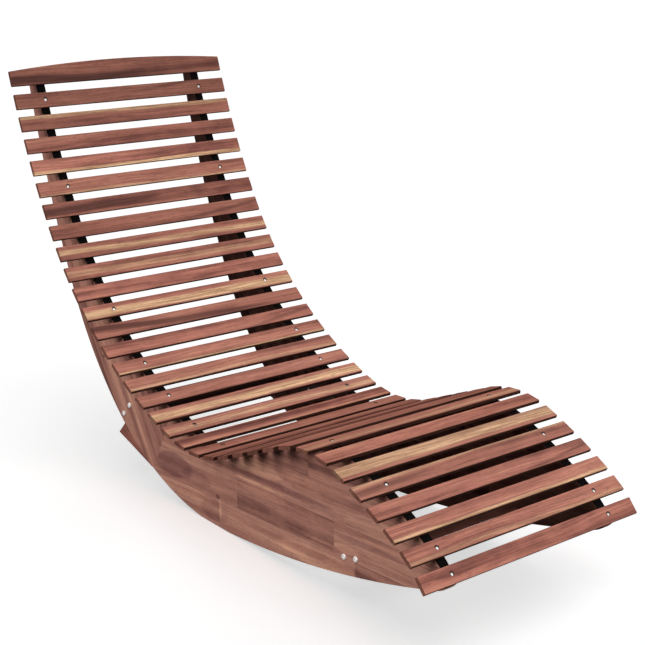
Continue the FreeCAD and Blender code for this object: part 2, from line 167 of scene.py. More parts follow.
def bandMask(tree, across, drift, centre, halfWidth, edge, waver):
    # 1 inside a lengthwise band with a soft, wavering edge
    wavy = calc(tree, "MULTIPLY_ADD", drift, waver, across)
    away = calc(tree, "ABSOLUTE", calc(tree, "SUBTRACT", wavy, centre))
    inner = calc(tree, "SUBTRACT", halfWidth, edge)
    outer = calc(tree, "ADD", halfWidth, edge)
    return soften(tree, away, inner, outer, 1.0, 0.0)


def makeAcacia(grain):
    tree, got, out = newGroup(
        "acaciaColour",
        [("Grain", "NodeSocketVector", None), ("Seed", "NodeSocketFloat", 0.0),
         ("Tone", "NodeSocketFloat", 0.5), ("Sap Place", "NodeSocketFloat", 0.0),
         ("Sap Width", "NodeSocketFloat", 0.0), ("Sap Amount", "NodeSocketFloat", 0.0),
         ("Streak Place", "NodeSocketFloat", 0.0), ("Streak Width", "NodeSocketFloat", 0.0),
         ("Streak Amount", "NodeSocketFloat", 0.0), ("Streak Slant", "NodeSocketFloat", 0.0),
         ("Streak Middle", "NodeSocketFloat", 0.0), ("Streak Reach", "NodeSocketFloat", 9.0),
         ("Shade", "NodeSocketFloat", 1.0), ("Contrast", "NodeSocketFloat", 0.46),
         ("End Grain", "NodeSocketFloat", 0.0)],
        [("Color", "NodeSocketColor"), ("Roughness", "NodeSocketFloat"), ("Height", "NodeSocketFloat")])
    shades, mix = acaciaColours, acaciaMix
    look = useGroup(tree, grain, {"Grain": got["Grain"], "Seed": got["Seed"]})
    along, across, _ = splitXyz(tree, got["Grain"])
    # dark, middle or warm heartwood, around the tone asked for
    level = calc(tree, "SUBTRACT", got["Tone"], mix["bandSwing"] / 2)
    level = calc(tree, "MULTIPLY_ADD", look["Bands"], mix["bandSwing"], level)
    level = calc(tree, "SUBTRACT", level, mix["figureSwing"] / 2)
    level = calc(tree, "MULTIPLY_ADD", look["Figure"], mix["figureSwing"], level, clamp=True)
    lower = blendColour(tree, soften(tree, level, *mix["darkLevels"]), shades["dark"], shades["heart"])
    heart = blendColour(tree, soften(tree, level, *mix["warmLevels"]), lower, shades["warm"])
    # the pale band of sapwood
    pale = blendColour(tree, look["Streaks"], shades["sapShade"], shades["sap"])
    sap = bandMask(tree, across, look["Drift"], got["Sap Place"], got["Sap Width"],
                   mix["sapEdge"], mix["sapWaver"])
    fade = calc(tree, "MULTIPLY_ADD", look["Bands"], mix["sapFade"], 1.0 - mix["sapFade"])
    sap = calc(tree, "MULTIPLY", sap, fade)
    colour = blendColour(tree, calc(tree, "MULTIPLY", sap, got["Sap Amount"]), heart, pale)
    # the dark streak, slanted, and only along a part of the piece
    slanted = calc(tree, "SUBTRACT", across, calc(tree, "MULTIPLY", along, got["Streak Slant"]))
    dark = bandMask(tree, slanted, look["Drift"], got["Streak Place"], got["Streak Width"],
                    mix["streakEdge"], mix["streakWaver"])
    window = bandMask(tree, along, 0.0, got["Streak Middle"], got["Streak Reach"], mix["reachEdge"], 0.0)
    dark = calc(tree, "MULTIPLY", dark, window)
    colour = blendColour(tree, calc(tree, "MULTIPLY", dark, got["Streak Amount"]), colour, shades["streak"])
    shade = calc(tree, "SUBTRACT", look["Streaks"], 0.5)
    shade = calc(tree, "MULTIPLY_ADD", shade, got["Contrast"], mix["middleShade"])
    shade = calc(tree, "MULTIPLY", shade, got["Shade"])
    shade = joinXyz(tree, shade, shade, shade)
    colour = blendColour(tree, 1.0, colour, shade, "MULTIPLY")
    pores = calc(tree, "MULTIPLY", look["Pores"], mix["poreDark"])
    colour = blendColour(tree, pores, colour, shades["streak"])
    ends = calc(tree, "MULTIPLY", got["End Grain"], mix["endDark"])
    colour = blendColour(tree, ends, colour, shades["endGrain"])
    rough = calc(tree, "MULTIPLY_ADD", look["Streaks"], mix["streakRough"], mix["rough"])
    rough = calc(tree, "MULTIPLY_ADD", got["End Grain"], mix["endRough"], rough)
    height = calc(tree, "MULTIPLY_ADD", look["Pores"], -mix["poreDepth"], look["Streaks"])
    tree.links.new(colour, out["Color"])
    tree.links.new(rough, out["Roughness"])
    tree.links.new(height, out["Height"])
    return tree


# lighter, rubbed long edges of a slat, from its place across the width
wearLook = {
    "patches": (38.0, 60.0, 1.0), "detail": 2.0, "levels": (0.35, 0.65), "width": 0.0018,
    "lighter": (1.45, 1.40, 1.35, 1.0)}


def makeEdgeWear():
    tree, got, out = newGroup(
        "edgeWear",
        [("Across", "NodeSocketFloat", 0.0), ("Along", "NodeSocketFloat", 0.0),
         ("Half Width", "NodeSocketFloat", 0.016), ("Amount", "NodeSocketFloat", 0.4),
         ("Color", "NodeSocketColor", None)],
        [("Color", "NodeSocketColor")])
    away = calc(tree, "SUBTRACT", got["Half Width"], calc(tree, "ABSOLUTE", got["Across"]))
    patch = joinXyz(tree, got["Along"], got["Across"], 0.0)
    patchy = stretchedNoise(tree, patch, wearLook["patches"], wearLook["detail"])
    near = soften(tree, away, 0.0, wearLook["width"], 1.0, 0.0)
    rubbed = calc(tree, "MULTIPLY", near, soften(tree, patchy, *wearLook["levels"]))
    amount = calc(tree, "MULTIPLY", rubbed, got["Amount"])
    lighter = blendColour(tree, 1.0, got["Color"], wearLook["lighter"], "MULTIPLY")
    tree.links.new(blendColour(tree, amount, got["Color"], lighter), out["Color"])
    return tree


grainGroup = makeGrain()
acaciaGroup = makeAcacia(grainGroup)
edgeGroup = makeEdgeWear()


def meshPoints(obj):
    found = np.empty(len(obj.data.vertices) * 3)
    obj.data.vertices.foreach_get("co", found)
    return found.reshape(-1, 3)


# slats: where each lies and how it leans is read from its end faces
# the seat's slats are dull and unworn, where a gleam would hide their dark edges
slatSizes = {
    "count": 35, "halfWidth": 0.018, "endDepth": 1e-5, "edgeWear": 0.35, "bump": 0.25, "dull": range(20, 30),
    "paintedSideShade": 0.13, "sideLevels": (0.55, 0.90), "endLevels": (0.6, 0.9)}
# painted shade: dark wood around the two screws of some slats, a little to one side of them, for the shade
# in their countersinks
holeShadeSizes = {
    "slats": (2, 6, 12, 15, 17, 19, 21, 28, 31, 34, 35), "screwAt": 0.222, "aside": 0.0015,
    "levels": (0.00448, 0.0056), "amount": 0.9}

# shade and tone of the wood, sapwood band as place, half width and strength, then the dark streak
# as place, half width, strength, slant, and where it begins and ends along the slat, in millimetres
# places are from the slat's middle, towards the feet and towards the sitter's left
slatLooks = {
    1: (0.69, 0.44, (), (8, 9, 0.85, 0, -400, 90)),
    2: (0.67, 0.48, (), (9, 4, 0.55, -0.14, 60, 270)),
    3: (0.84, 0.50, (-14, 5, 0.75), ()),
    4: (0.91, 0.48, (), (2, 4, 0.15, 0, 60, 260)),
    5: (1.17, 0.46, (16, 6, 1.0), (-8, 4, 0.35, 0, 20, 260)),
    6: (0.93, 0.62, (17, 4, 0.55), ()),
    7: (0.92, 0.42, (), (2, 10, 0.80, 0, -400, 20)),
    8: (0.85, 0.48, (), (22, 4, 0.60, -0.10, 40, 330)),
    9: (0.94, 0.56, (1, 6, 0.85), (14, 4, 0.30, 0, -400, 400)),
    10: (0.95, 0.56, (1, 7, 0.45), (-9, 3, 0.20, 0, 60, 400)),
    11: (1.08, 0.50, (), (6, 3, 0.10, 0, -400, 400)),
    12: (0.97, 0.60, (6, 9, 1.0), ()),
    13: (0.82, 0.48, (), (8, 7, 0.75, 0.05, -400, 160)),
    14: (1.06, 0.46, (), (26, 4, 0.60, -0.10, 60, 400)),
    15: (0.97, 0.52, (16, 3, 0.70), ()),
    16: (0.92, 0.50, (12, 4, 0.45), (-6, 4, 0.25, 0, 20, 400)),
    17: (0.91, 0.50, (), (-12, 3, 0.15, 0, -400, 400)),
    18: (1.05, 0.56, (3, 10, 0.95), ()),
    19: (0.95, 0.54, (4, 6, 0.55), (-12, 3, 0.25, 0, -400, 400)),
    20: (1.10, 0.36, (14, 3, 0.20), (-6, 9, 0.60, 0, -400, 60)),
    21: (0.88, 0.50, (), ()),
    22: (0.90, 0.44, (), (12, 4, 0.5, 0, -400, 400)),
    23: (0.90, 0.42, (), (-9, 3, 0.5, 0, -400, 400)),
    24: (0.95, 0.42, (), (4, 3, 0.4, 0, -400, 400)),
    # slat 25's low shade is partly painted shade, for the shade it lies in between its neighbours, and
    # partly a darker wood
    25: (0.46, 0.40, (), (2, 7, 0.45, 0, -400, 400)),
    26: (1.14, 0.46, (), ()),
    27: (0.93, 0.44, (), (14, 3, 0.3, 0, -400, 400)),
    28: (0.96, 0.48, (7, 5, 0.50), ()),
    29: (1.05, 0.50, (), (14, 3, 0.2, 0, -400, 400)),
    30: (0.87, 0.56, (-3, 12, 0.75), ()),
    31: (0.88, 0.46, (-15, 3, 0.60), (0, 6, 0.60, 0, -400, -110)),
    32: (0.98, 0.48, (), (27, 3, 0.55, -0.10, 60, 400)),
    33: (1.02, 0.52, (15, 3, 1.0), ()),
    34: (1.02, 0.54, (13, 4, 0.40), (-4, 4, 0.2, 0, 40, 400)),
    35: (1.08, 0.48, (), ())}


def slatFrame(obj):
    # middle and lean of a slat, from the corners of its end faces
    points = meshPoints(obj)
    sideways = np.abs(points[:, 1])
    ends = points[sideways > sideways.max() - slatSizes["endDepth"]][:, [0, 2]]
    ends = np.unique(np.round(ends, 6), axis=0)
    hull = ends - ends.mean(axis=0)
    _, _, axes = np.linalg.svd(hull, full_matrices=False)
    run = axes[0] * np.sign(axes[0][0])
    rise = np.array([-run[1], run[0]])
    spans = [ends @ run, ends @ rise]
    middle = run * (spans[0].min() + spans[0].max()) / 2 + rise * (spans[1].min() + spans[1].max()) / 2
    return middle, math.atan2(run[1], run[0])


def placedGrain(tree, middle, lean, grainAcross):
    # Object coordinates turned into a piece's own: along the grain, across it, into the wood
    where = addNode(tree, "ShaderNodeTexCoord")
    turn = Matrix.Rotation(lean, 3, "Y")
    shift = turn @ Vector((middle[0], 0.0, middle[1]))
    own = addNode(tree, "ShaderNodeMapping",
                  {"Vector": where.outputs["Object"], "Location": -shift, "Rotation": (0.0, lean, 0.0)})
    parts = splitXyz(tree, own.outputs[0])
    if grainAcross:
        grain = joinXyz(tree, parts[1], parts[0], parts[2])
    else:
        grain = joinXyz(tree, parts[0], parts[2], parts[1])
    return grain, parts, where.outputs["Normal"]


woodFinish = {"bump": 0.22, "bumpDistance": 0.0006, "gloss": 0.05}


def finishWood(tree, shader, colour, wood, bump=woodFinish["bump"], gloss=woodFinish["gloss"]):
    tree.links.new(colour, shader["Base Color"])
    tree.links.new(wood["Roughness"], shader["Roughness"])
    normal = addNode(tree, "ShaderNodeBump", {
        "Strength": bump, "Distance": woodFinish["bumpDistance"], "Height": wood["Height"]})
    tree.links.new(normal.outputs[0], shader["Normal"])
    shader["Specular IOR Level"].default_value = gloss


# painted shade of the countersinks, around the screw holes
def shadeScrewHoles(tree, colour, parts):
    beside = calc(tree, "SUBTRACT", calc(tree, "ABSOLUTE", parts[1]), holeShadeSizes["screwAt"])
    shifted = calc(tree, "ADD", parts[0], holeShadeSizes["aside"])
    away = calcVector(tree, "LENGTH", joinXyz(tree, shifted, beside, 0.0))
    mask = soften(tree, away, *holeShadeSizes["levels"], holeShadeSizes["amount"], 0.0)
    return blendColour(tree, mask, colour, acaciaColours["holeShade"])


def makeSlatWood(number, obj):
    shade, tone, sap, streak = slatLooks[number]
    sapAt, sapHalf, sapAmount = sap or (0, 0, 0)
    streakAt, streakHalf, streakAmount, slant, begins, ends = streak or (0, 0, 0, 0, 0, 0)
    dull = number in slatSizes["dull"]
    material, tree, shader = newMaterial("slatWood%02d" % number)
    middle, lean = slatFrame(obj)
    grain, parts, normal = placedGrain(tree, middle, lean, True)
    facing = splitXyz(tree, normal)[1]
    cutEnd = soften(tree, calc(tree, "ABSOLUTE", facing), *slatSizes["endLevels"])
    # painted shade: the long side faces are darker than the planed face, for the shade they lie in
    sideways = calcVector(tree, "DOT_PRODUCT", normal, (math.cos(lean), 0.0, math.sin(lean)))
    sidesShaded = soften(tree, calc(tree, "ABSOLUTE", sideways), *slatSizes["sideLevels"],
                  shade, shade * slatSizes["paintedSideShade"])
    wood = useGroup(tree, acaciaGroup, {
        "Grain": grain, "Seed": number * 1.0, "Tone": tone, "Shade": sidesShaded,
        "Sap Place": sapAt / 1000, "Sap Width": sapHalf / 1000, "Sap Amount": sapAmount,
        "Streak Place": streakAt / 1000, "Streak Width": streakHalf / 1000,
        "Streak Amount": streakAmount, "Streak Slant": slant,
        "Streak Middle": (begins + ends) / 2000, "Streak Reach": (ends - begins) / 2000,
        "End Grain": cutEnd})
    colour = useGroup(tree, edgeGroup, {
        "Across": parts[0], "Along": parts[1], "Half Width": slatSizes["halfWidth"],
        "Amount": 0.0 if dull else slatSizes["edgeWear"], "Color": wood["Color"]})["Color"]
    if number in holeShadeSizes["slats"]:
        colour = shadeScrewHoles(tree, colour, parts)
    finishWood(tree, shader, colour, wood, slatSizes["bump"], 0.0 if dull else woodFinish["gloss"])
    return material


for number in range(1, slatSizes["count"] + 1):
    slat = nodes["slat_%02d" % number]
    dress(slat, makeSlatWood(number, slat))
print("stage 2: slats oiled,", slatSizes["count"])


# side boards: glued up from staves that lie almost level in the seat and run lengthwise in the back
# a row is its upper edge in millimetres, then staves as (start, tone, seed), from the rear
seatStaves = {
    "lean": 3.7, "middle": (0.0390, -0.0007), "reach": 1.0, "line": 0.0007,
    "rows": (
        (64.5, ((-600, 0.60, 1), (4, 0.72, 2), (444, 0.30, 3))),
        (131.5, ((-600, 0.70, 4), (64, 0.38, 5), (381, 0.74, 6))),
        (203.5, ((-600, 0.58, 7), (222, 0.66, 8))),
        (400.0, ((-600, 0.32, 9), (300, 0.44, 10))))}
backStaves = {
    "lean": 125.0, "middle": (-0.45, 0.45), "reach": 1.0, "line": 0.0007,
    "rows": (
        (-30.0, ((-600, 0.42, 11), (-60, 0.55, 12), (210, 0.44, 20))),
        (22.0, ((-600, 0.50, 13), (120, 0.62, 14))),
        (82.0, ((-600, 0.66, 16), (-180, 0.56, 17), (300, 0.48, 15))),
        (400.0, ((-600, 0.26, 18), (40, 0.36, 19))))}

# single figures in the grain, as place, half length and half height in millimetres, and strength
# a positive strength is pale, a negative one dark
seatMarks = (
    (-165, 98, 80, 32, -0.68), (-78, 92, 60, 17, -0.35), (150, 139, 95, 3.6, 0.75),
    (215, 153, 175, 7, -0.50), (150, 176, 72, 20, 0.45), (330, 36, 130, 24, 0.42), (1, 70, 9, 6, -0.80),
    (9, 44, 5, 26, 0.60), (330, 82, 50, 9, 0.25), (420, 84, 40, 10, 0.45),
    (-120, 52, 120, 14, 0.45), (-60, 84, 90, 8, 0.25), (480, 108, 120, 7, -0.40),
    (560, 122, 110, 4, 0.50),
    (-10, 40, 90, 10, 0.25), (200, 30, 120, 8, 0.25), (150, 122, 90, 8, 0.30), (310, 184, 100, 14, 0.35),
    (320, 148, 110, 9, -0.25), (-10, 34, 55, 26, -0.30), (-160, 142, 70, 12, 0.20))
backMarks = (
    (-360, 27, 120, 6, 0.55), (-330, 44, 140, 5, -0.35), (-200, 62, 150, 7, 0.35),
    (-120, -8, 160, 8, -0.35), (120, 30, 150, 6, 0.30))


seedScale = 32.0


def staveRow(tree, along, staves, reach, line):
    # red holds the stave's tone, green its seed over the scale, blue the glue line between two staves
    place = addNode(tree, "ShaderNodeMapRange", {0: along, 1: -reach, 2: reach}).outputs[0]
    ramp = addNode(tree, "ShaderNodeValToRGB", {0: place})
    ramp.color_ramp.interpolation = "CONSTANT"
    stops = ramp.color_ramp.elements
    while len(stops) > 1:
        stops.remove(stops[-1])
    marks = []
    for order, (start, tone, seed) in enumerate(staves):
        at = (start / 1000 + reach) / (2 * reach)
        kept = seed / seedScale
        if order:
            marks.append((at - line / (4 * reach), (tone, kept, 1.0, 1.0)))
            at += line / (4 * reach)
        marks.append((at, (tone, kept, 0.0, 1.0)))
    stops[0].position, stops[0].color = marks[0]
    for at, value in marks[1:]:
        stops.new(at).color = value
    return ramp.outputs[0]


markLook = {
    "waver": (14.0, 40.0, 40.0), "detail": 2.0, "depth": 0.45, "levels": (0.78, 1.02),
    "pale": (1.55, 1.66, 1.50, 1.0), "dark": (0.50, 0.43, 0.54, 1.0)}


def makeMark():
    # a soft patch with a wavering border, at a place in the grain
    tree, got, out = newGroup(
        "grainMark",
        [("Grain", "NodeSocketVector", None), ("Place", "NodeSocketVector", None),
         ("Spread", "NodeSocketVector", None)],
        [("Mask", "NodeSocketFloat")])
    waver = stretchedNoise(tree, got["Grain"], markLook["waver"], markLook["detail"])
    waver = calc(tree, "SUBTRACT", waver, 0.5)
    away = calcVector(tree, "SUBTRACT", got["Grain"], got["Place"])
    reach = calcVector(tree, "LENGTH", calcVector(tree, "MULTIPLY", away, got["Spread"]))
    reach = calc(tree, "MULTIPLY_ADD", waver, markLook["depth"], reach)
    tree.links.new(soften(tree, reach, *markLook["levels"], 1.0, 0.0), out["Mask"])
    return tree


markGroup = makeMark()


# painted shade: the inner faces, always in the shade, are given a darker brown
boardLook = {
    "outer": (0.88, 1.02, 1.06, 1.0), "inner": (0.66, 0.73, 0.78, 1.0), "innerShadeLevels": (0.3, 0.8),
    "contrast": 0.26, "glueDark": 0.60}


def pickStave(tree, along, up, layout):
    # the values of the stave at a point, and 1 on a glue line
    reach, line, rows = layout["reach"], layout["line"], layout["rows"]
    picked = staveRow(tree, along, rows[0][1], reach, line)
    joint = 0.0
    for (top, _), (_, staves) in zip(rows[:-1], rows[1:]):
        above = calc(tree, "GREATER_THAN", up, top / 1000)
        picked = blendColour(tree, above, picked, staveRow(tree, along, staves, reach, line))
        away = calc(tree, "ABSOLUTE", calc(tree, "SUBTRACT", up, top / 1000))
        joint = calc(tree, "MAXIMUM", joint, calc(tree, "LESS_THAN", away, line / 2))
    stave = addNode(tree, "ShaderNodeSeparateColor", {0: picked}).outputs
    return stave[0], stave[1], calc(tree, "MAXIMUM", joint, stave[2])


def makeBoardWood(name, layout, seed, inward, marks):
    material, tree, shader = newMaterial(name)
    grain, parts, normal = placedGrain(tree, layout["middle"], math.radians(layout["lean"]), False)
    tone, kept, joint = pickStave(tree, parts[0], parts[2], layout)
    staveSeed = calc(tree, "MULTIPLY_ADD", kept, seedScale, seed)
    wood = useGroup(tree, acaciaGroup, {
        "Grain": grain, "Seed": staveSeed, "Tone": tone, "Contrast": boardLook["contrast"]})
    colour = wood["Color"]
    for place, height, half, rise, strength in marks:
        mask = useGroup(tree, markGroup, {
            "Grain": grain, "Place": (place / 1000, height / 1000, 0.0),
            "Spread": (1000 / half, 1000 / rise, 0.0)})["Mask"]
        tint = markLook["pale"] if strength > 0 else markLook["dark"]
        shifted = blendColour(tree, 1.0, colour, tint, "MULTIPLY")
        colour = blendColour(tree, calc(tree, "MULTIPLY", mask, abs(strength)), colour, shifted)
    glue = calc(tree, "MULTIPLY", joint, boardLook["glueDark"])
    glued = blendColour(tree, glue, colour, acaciaColours["streak"])
    outer = blendColour(tree, 1.0, glued, boardLook["outer"], "MULTIPLY")
    # painted shade: the inner faces take the darker inner tint
    inner = blendColour(tree, 1.0, glued, boardLook["inner"], "MULTIPLY")
    facing = splitXyz(tree, normal)[1]
    inside = soften(tree, calc(tree, "MULTIPLY", facing, inward), *boardLook["innerShadeLevels"])
    finishWood(tree, shader, blendColour(tree, inside, outer, inner), wood)
    return material


boardMarks = {"right": (seatMarks, backMarks), "left": (seatMarks[2:5], backMarks[1:3])}
for side, seed, inward in (("right", 40.0, 1.0), ("left", 90.0, -1.0)):
    onSeat, onBack = boardMarks[side]
    seatWood = makeBoardWood("seatBoardWood_" + side, seatStaves, seed, inward, onSeat)
    backWood = makeBoardWood("backBoardWood_" + side, backStaves, seed, inward, onBack)
    dress(nodes["seat_board_" + side], seatWood)
    dress(nodes["back_board_" + side], backWood)
print("stage 3: side boards glued up and oiled")


# stops, cross rails and dowels: one stick each, with the grain along it; the rails' low shade is painted
# shade, for the shade they lie in under the seat
stickLooks = {
    "stop_block": {"lean": -0.42, "middle": (-0.28, 0.06), "across": False, "tone": 0.16, "seed": 61.0,
                   "streak": (0.004, 0.005, 0.5), "shade": 1.0},
    "front_rail": {"lean": 0.1, "middle": (0.47, 0.08), "across": True, "tone": 0.50, "seed": 62.0,
                   "streak": (0.0, 0.004, 0.3), "shade": 0.42},
    "rear_rail": {"lean": 0.9, "middle": (-0.33, 0.15), "across": True, "tone": 0.42, "seed": 63.0,
                  "streak": (0.01, 0.006, 0.3), "shade": 0.42},
    "hip_dowels": {"lean": 0.0, "middle": (-0.15, 0.15), "across": False, "tone": 0.95, "seed": 64.0,
                   "streak": (0.0, 0.0, 0.0), "shade": 1.0}}


def makeStickWood(name, look):
    material, tree, shader = newMaterial(name + "Wood")
    grain, _, _ = placedGrain(tree, look["middle"], look["lean"], look["across"])
    place, half, amount = look["streak"]
    wood = useGroup(tree, acaciaGroup, {
        "Grain": grain, "Seed": look["seed"], "Tone": look["tone"], "Shade": look["shade"],
        "Streak Place": place, "Streak Width": half, "Streak Amount": amount})
    finishWood(tree, shader, wood["Color"], wood)
    return material


stopWood = makeStickWood("stop_block", stickLooks["stop_block"])
dress(nodes["stop_block_left"], stopWood)
dress(nodes["stop_block_right"], stopWood)
for stick in ("front_rail", "rear_rail", "hip_dowels"):
    dress(nodes[stick], makeStickWood(stick, stickLooks[stick]))


# black webbing straps
strapLook = {
    "ribsPerMetre": 460.0, "colour": (0.004, 0.0035, 0.0035, 1.0), "worn": (0.012, 0.010, 0.010, 1.0),
    "fluff": (900.0, 900.0, 900.0), "detail": 2.0, "rough": 0.9, "bump": 0.6, "bumpDistance": 0.0006}


def makeWebbing():
    material, tree, shader = newMaterial("blackWebbing")
    spot = addNode(tree, "ShaderNodeTexCoord").outputs["Object"]
    across = splitXyz(tree, spot)[1]
    ribs = calc(tree, "SINE", calc(tree, "MULTIPLY", across, strapLook["ribsPerMetre"] * 2 * math.pi))
    ribs = calc(tree, "MULTIPLY_ADD", ribs, 0.5, 0.5)
    fluff = stretchedNoise(tree, spot, strapLook["fluff"], strapLook["detail"])
    colour = blendColour(tree, calc(tree, "MULTIPLY", ribs, fluff), strapLook["colour"], strapLook["worn"])
    tree.links.new(colour, shader["Base Color"])
    shader["Roughness"].default_value = strapLook["rough"]
    shader["Specular IOR Level"].default_value = 0.0
    bump = addNode(tree, "ShaderNodeBump", {
        "Strength": strapLook["bump"], "Distance": strapLook["bumpDistance"], "Height": ribs})
    tree.links.new(bump.outputs[0], shader["Normal"])
    return material


webbing = makeWebbing()


# zinc plated steel and the hip plates' dark paint, both a little cloudy
cloudLook = {"detail": 3.0, "levels": (0.3, 0.7)}
steelLooks = {
    "bolt": {"bright": (0.97, 0.93, 0.91, 1.0), "dull": (0.86, 0.82, 0.80, 1.0), "rough": 0.55,
             "metallic": 0.45, "hipDarkness": 0.0},
    "screw": {"bright": (0.97, 0.96, 0.94, 1.0), "dull": (0.80, 0.79, 0.77, 1.0), "rough": 0.45,
              "metallic": 0.4, "hipDarkness": 0.85}}
steelCloud = {"scale": 160.0, "polish": -0.12}
# the screws around the hip are darker, towards a dark brown
hipDarkening = {"place": -0.045, "levels": (0.085, 0.095), "colour": (0.060, 0.035, 0.028, 1.0)}
paintLook = {
    "scale": 240.0, "dark": (0.030, 0.017, 0.014, 1.0), "light": (0.045, 0.027, 0.021, 1.0),
    "rough": 0.42, "cloudRough": 0.15}


def makeCloud(tree, spot, scale):
    noise = stretchedNoise(tree, spot, (scale, scale, scale), cloudLook["detail"])
    return soften(tree, noise, *cloudLook["levels"])


def makeSteel(name):
    look = steelLooks[name]
    material, tree, shader = newMaterial(name + "Steel")
    spot = addNode(tree, "ShaderNodeTexCoord").outputs["Object"]
    cloud = makeCloud(tree, spot, steelCloud["scale"])
    colour = blendColour(tree, cloud, look["dull"], look["bright"])
    lengthwise = splitXyz(tree, spot)[0]
    fromHip = calc(tree, "ABSOLUTE", calc(tree, "SUBTRACT", lengthwise, hipDarkening["place"]))
    hipDarkness = soften(tree, fromHip, *hipDarkening["levels"], look["hipDarkness"], 0.0)
    colour = blendColour(tree, hipDarkness, colour, hipDarkening["colour"])
    tree.links.new(colour, shader["Base Color"])
    rough = calc(tree, "MULTIPLY_ADD", cloud, steelCloud["polish"], look["rough"])
    tree.links.new(rough, shader["Roughness"])
    shader["Metallic"].default_value = look["metallic"]
    return material


def makePaint():
    material, tree, shader = newMaterial("platePaint")
    spot = addNode(tree, "ShaderNodeTexCoord").outputs["Object"]
    cloud = makeCloud(tree, spot, paintLook["scale"])
    tree.links.new(blendColour(tree, cloud, paintLook["dark"], paintLook["light"]), shader["Base Color"])
    rough = calc(tree, "MULTIPLY_ADD", cloud, paintLook["cloudRough"], paintLook["rough"])
    tree.links.new(rough, shader["Roughness"])
    return material


boltSteel = makeSteel("bolt")
screwSteel = makeSteel("screw")
dress(nodes["rail_bolts"], boltSteel)
for name in ("barrel_nuts", "strap_staples"):
    dress(nodes[name], screwSteel)
platePaint = makePaint()
for side in ("left", "right"):
    dress(nodes["hip_plate_" + side], platePaint)


# screws and straps are grown by Geometry Nodes, then kept as plain meshes
madePieces = []


def newGrower(name, ins):
    tree = bpy.data.node_groups.new(name, "GeometryNodeTree")
    tree.is_modifier = True
    tree.interface.new_socket("Geometry", in_out="INPUT", socket_type="NodeSocketGeometry")
    for label, kind in ins:
        tree.interface.new_socket(label, in_out="INPUT", socket_type=kind)
    tree.interface.new_socket("Geometry", in_out="OUTPUT", socket_type="NodeSocketGeometry")
    return tree, tree.nodes.new("NodeGroupInput").outputs, tree.nodes.new("NodeGroupOutput").inputs


def grow(name, start, tree, values, replaced):
    seed = bpy.data.objects.new(name + "Start", start)
    bpy.context.scene.collection.objects.link(seed)
    modifier = seed.modifiers.new("grow", "NODES")
    modifier.node_group = tree
    for item in tree.interface.items_tree:
        if item.in_out == "INPUT" and item.name in values:
            modifier[item.identifier] = values[item.name]
    seed.update_tag()
    depsgraph = bpy.context.evaluated_depsgraph_get()
    mesh = bpy.data.meshes.new_from_object(seed.evaluated_get(depsgraph))
    mesh.name = name
    finish = [material for material in mesh.materials if material][0]
    mesh.materials.clear()
    mesh.materials.append(finish)
    mesh.polygons.foreach_set("material_index", np.zeros(len(mesh.polygons), dtype=np.int32))
    bpy.data.objects.remove(seed)
    piece = bpy.data.objects.new(name, mesh)
    bpy.context.scene.collection.objects.link(piece)
    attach(piece, "root")
    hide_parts(replaced)
    madePieces.append(piece)
    print("  grown:", name, len(mesh.polygons), "faces")
    return piece


def finishTree(tree, geometry, material, out):
    real = addNode(tree, "GeometryNodeRealizeInstances", {"Geometry": geometry}).outputs[0]
    painted = addNode(tree, "GeometryNodeSetMaterial", {"Geometry": real, "Material": material}).outputs[0]
    tree.links.new(painted, out["Geometry"])


# countersunk wood screws with a cross recess
screwSizes = {
    "Head Width": 0.006, "Rim": 0.0003, "Cone": 0.0015, "Shank Width": 0.003, "Facets": 24,
    "Recess Length": 0.0034, "Recess Width": 0.0008, "Recess Depth": 0.0012, "Seed": 7}
screwShape = {"tipShare": 0.02, "bevelShare": 0.4, "startLength": 0.01}
screwLengths = {"slat_screws": 0.040, "stop_screws": 0.045, "plate_screws": 0.016}


def pickByIndex(tree, index, choices):
    node = tree.nodes.new("GeometryNodeIndexSwitch")
    node.data_type = "FLOAT"
    while len(node.index_switch_items) < len(choices):
        node.index_switch_items.new()
    tree.links.new(index, node.inputs[0])
    for order, choice in enumerate(choices):
        if isinstance(choice, bpy.types.NodeSocket):
            tree.links.new(choice, node.inputs[order + 1])
        else:
            node.inputs[order + 1].default_value = choice
    return node.outputs[0]


